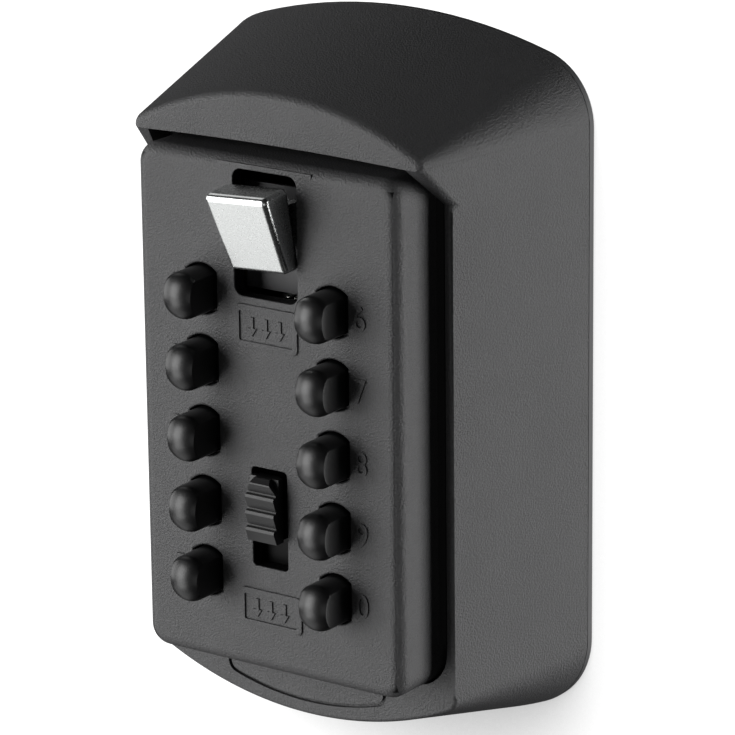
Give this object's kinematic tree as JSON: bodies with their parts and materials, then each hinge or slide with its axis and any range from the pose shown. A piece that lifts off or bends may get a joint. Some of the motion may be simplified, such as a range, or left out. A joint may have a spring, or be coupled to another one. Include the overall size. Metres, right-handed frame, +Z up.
{
  "type": "keypad key box",
  "caption": "Wall-mounted key box: a hooded, flared metal housing closed by a push-button door that tilts forward, with an open lever and a clear slider.",
  "frame": {"origin": "the middle of the four wall screws, on the flat back face of the wall gasket that meets the wall", "axes": "+Z up the wall, +Y into the wall, -Y towards the person at the keypad, +X to that person's right"},
  "size_m": [0.0914, 0.0579, 0.1505],
  "materials": {
    "housing_coat": "fine-textured dark grey powder coat on die-cast zinc",
    "door_coat": "fine-textured dark grey powder coat on die-cast zinc",
    "lever_chrome": "polished chrome plate",
    "button_plastic": "smooth satin black moulded plastic",
    "slider_plastic": "satin dark grey moulded plastic",
    "carriage_plastic": "matt black casting",
    "cover_plastic": "matt black moulded plastic",
    "gasket_rubber": "matt black closed-cell rubber",
    "seal_rubber": "matt black rubber strip",
    "steel_plate": "zinc-plated sheet steel",
    "steel_fixings": "zinc-plated turned steel",
    "bolt_steel": "ground steel",
    "spring_wire": "drawn spring steel",
    "stem_brass": "turned brass"
  },
  "bodies": {
    "housing": {"housing": "housing_coat", "wall_gasket": "gasket_rubber", "strike_plate": "steel_plate", "strike_screws": "steel_fixings"},
    "door": {"door_shell": "door_coat", "door_seal": "seal_rubber", "guide_plate": "steel_plate", "guide_posts": "steel_fixings", "plate_spacers": "steel_fixings", "plate_screws": "steel_fixings", "lock_back_plate": "steel_plate", "bolt_guide": "steel_plate", "back_cover": "cover_plastic", "cover_screws": "steel_fixings", "lever_spring": "spring_wire", "clear_spring": "spring_wire", "bolt_spring": "spring_wire", "button_spring_1": "spring_wire", "button_spring_2": "spring_wire", "button_spring_3": "spring_wire", "button_spring_4": "spring_wire", "button_spring_5": "spring_wire", "button_spring_6": "spring_wire", "button_spring_7": "spring_wire", "button_spring_8": "spring_wire", "button_spring_9": "spring_wire", "button_spring_0": "spring_wire"},
    "open_lever": {"open_lever": "lever_chrome", "lever_carriage": "carriage_plastic", "code_slide": "steel_plate", "bolt_drive_pin": "steel_fixings"},
    "clear_slider": {"clear_slider": "slider_plastic", "clear_slide": "steel_plate"},
    "latch_bolt": {"latch_bolt": "bolt_steel"},
    "button_1": {"button_1": "button_plastic"},
    "button_2": {"button_2": "button_plastic"},
    "button_3": {"button_3": "button_plastic"},
    "button_4": {"button_4": "button_plastic"},
    "button_5": {"button_5": "button_plastic"},
    "button_6": {"button_6": "button_plastic"},
    "button_7": {"button_7": "button_plastic"},
    "button_8": {"button_8": "button_plastic"},
    "button_9": {"button_9": "button_plastic"},
    "button_0": {"button_0": "button_plastic"},
    "code_stem_1": {"code_stem_1": "stem_brass"},
    "code_stem_2": {"code_stem_2": "stem_brass"},
    "code_stem_3": {"code_stem_3": "stem_brass"},
    "code_stem_4": {"code_stem_4": "stem_brass"},
    "code_stem_5": {"code_stem_5": "stem_brass"},
    "code_stem_6": {"code_stem_6": "stem_brass"},
    "code_stem_7": {"code_stem_7": "stem_brass"},
    "code_stem_8": {"code_stem_8": "stem_brass"},
    "code_stem_9": {"code_stem_9": "stem_brass"},
    "code_stem_0": {"code_stem_0": "stem_brass"}
  },
  "joints": [
    {"name": "door_tilt", "type": "hinge", "parent": "housing", "child": "door", "pos_m": [0, -0.0372, -0.05375], "axis": [1, 0, 0], "range_deg": [0, 35]},
    {"name": "lever_pull", "type": "slide", "parent": "door", "child": "open_lever", "axis": [0, 0, -1], "range_m": [0, 0.006], "stiffness_N_per_m": 300, "springref_m": -0.006, "deforming": ["lever_spring"]},
    {"name": "clear_push", "type": "slide", "parent": "door", "child": "clear_slider", "axis": [0, 0, -1], "range_m": [0, 0.005], "stiffness_N_per_m": 200, "springref_m": -0.005, "deforming": ["clear_spring"]},
    {"name": "bolt_slide", "type": "slide", "parent": "door", "child": "latch_bolt", "axis": [0, 0, -1], "range_m": [-0.0055, 0], "deforming": ["bolt_spring"]},
    {"name": "button_1_press", "type": "slide", "parent": "door", "child": "button_1", "axis": [0, 1, 0], "range_m": [0, 0.003], "stiffness_N_per_m": 250, "springref_m": -0.003, "deforming": ["button_spring_1"]},
    {"name": "button_2_press", "type": "slide", "parent": "door", "child": "button_2", "axis": [0, 1, 0], "range_m": [0, 0.003], "stiffness_N_per_m": 250, "springref_m": -0.003, "deforming": ["button_spring_2"]},
    {"name": "button_3_press", "type": "slide", "parent": "door", "child": "button_3", "axis": [0, 1, 0], "range_m": [0, 0.003], "stiffness_N_per_m": 250, "springref_m": -0.003, "deforming": ["button_spring_3"]},
    {"name": "button_4_press", "type": "slide", "parent": "door", "child": "button_4", "axis": [0, 1, 0], "range_m": [0, 0.003], "stiffness_N_per_m": 250, "springref_m": -0.003, "deforming": ["button_spring_4"]},
    {"name": "button_5_press", "type": "slide", "parent": "door", "child": "button_5", "axis": [0, 1, 0], "range_m": [0, 0.003], "stiffness_N_per_m": 250, "springref_m": -0.003, "deforming": ["button_spring_5"]},
    {"name": "button_6_press", "type": "slide", "parent": "door", "child": "button_6", "axis": [0, 1, 0], "range_m": [0, 0.003], "stiffness_N_per_m": 250, "springref_m": -0.003, "deforming": ["button_spring_6"]},
    {"name": "button_7_press", "type": "slide", "parent": "door", "child": "button_7", "axis": [0, 1, 0], "range_m": [0, 0.003], "stiffness_N_per_m": 250, "springref_m": -0.003, "deforming": ["button_spring_7"]},
    {"name": "button_8_press", "type": "slide", "parent": "door", "child": "button_8", "axis": [0, 1, 0], "range_m": [0, 0.003], "stiffness_N_per_m": 250, "springref_m": -0.003, "deforming": ["button_spring_8"]},
    {"name": "button_9_press", "type": "slide", "parent": "door", "child": "button_9", "axis": [0, 1, 0], "range_m": [0, 0.003], "stiffness_N_per_m": 250, "springref_m": -0.003, "deforming": ["button_spring_9"]},
    {"name": "button_0_press", "type": "slide", "parent": "door", "child": "button_0", "axis": [0, 1, 0], "range_m": [0, 0.003], "stiffness_N_per_m": 250, "springref_m": -0.003, "deforming": ["button_spring_0"]},
    {"name": "code_1_set", "type": "hinge", "parent": "button_1", "child": "code_stem_1", "pos_m": [-0.016, -0.0338, 0.0253], "axis": [0, 1, 0], "range_deg": [0, 180]},
    {"name": "code_2_set", "type": "hinge", "parent": "button_2", "child": "code_stem_2", "pos_m": [-0.016, -0.0338, 0.0104], "axis": [0, 1, 0], "range_deg": [0, 180]},
    {"name": "code_3_set", "type": "hinge", "parent": "button_3", "child": "code_stem_3", "pos_m": [-0.016, -0.0338, -0.0045], "axis": [0, 1, 0], "range_deg": [0, 180]},
    {"name": "code_4_set", "type": "hinge", "parent": "button_4", "child": "code_stem_4", "pos_m": [-0.016, -0.0338, -0.0194], "axis": [0, 1, 0], "range_deg": [0, 180]},
    {"name": "code_5_set", "type": "hinge", "parent": "button_5", "child": "code_stem_5", "pos_m": [-0.016, -0.0338, -0.0343], "axis": [0, 1, 0], "range_deg": [0, 180]},
    {"name": "code_6_set", "type": "hinge", "parent": "button_6", "child": "code_stem_6", "pos_m": [0.016, -0.0338, 0.0253], "axis": [0, 1, 0], "range_deg": [0, 180]},
    {"name": "code_7_set", "type": "hinge", "parent": "button_7", "child": "code_stem_7", "pos_m": [0.016, -0.0338, 0.0104], "axis": [0, 1, 0], "range_deg": [0, 180]},
    {"name": "code_8_set", "type": "hinge", "parent": "button_8", "child": "code_stem_8", "pos_m": [0.016, -0.0338, -0.0045], "axis": [0, 1, 0], "range_deg": [0, 180]},
    {"name": "code_9_set", "type": "hinge", "parent": "button_9", "child": "code_stem_9", "pos_m": [0.016, -0.0338, -0.0194], "axis": [0, 1, 0], "range_deg": [0, 180]},
    {"name": "code_0_set", "type": "hinge", "parent": "button_0", "child": "code_stem_0", "pos_m": [0.016, -0.0338, -0.0343], "axis": [0, 1, 0], "range_deg": [0, 180]}
  ]
}
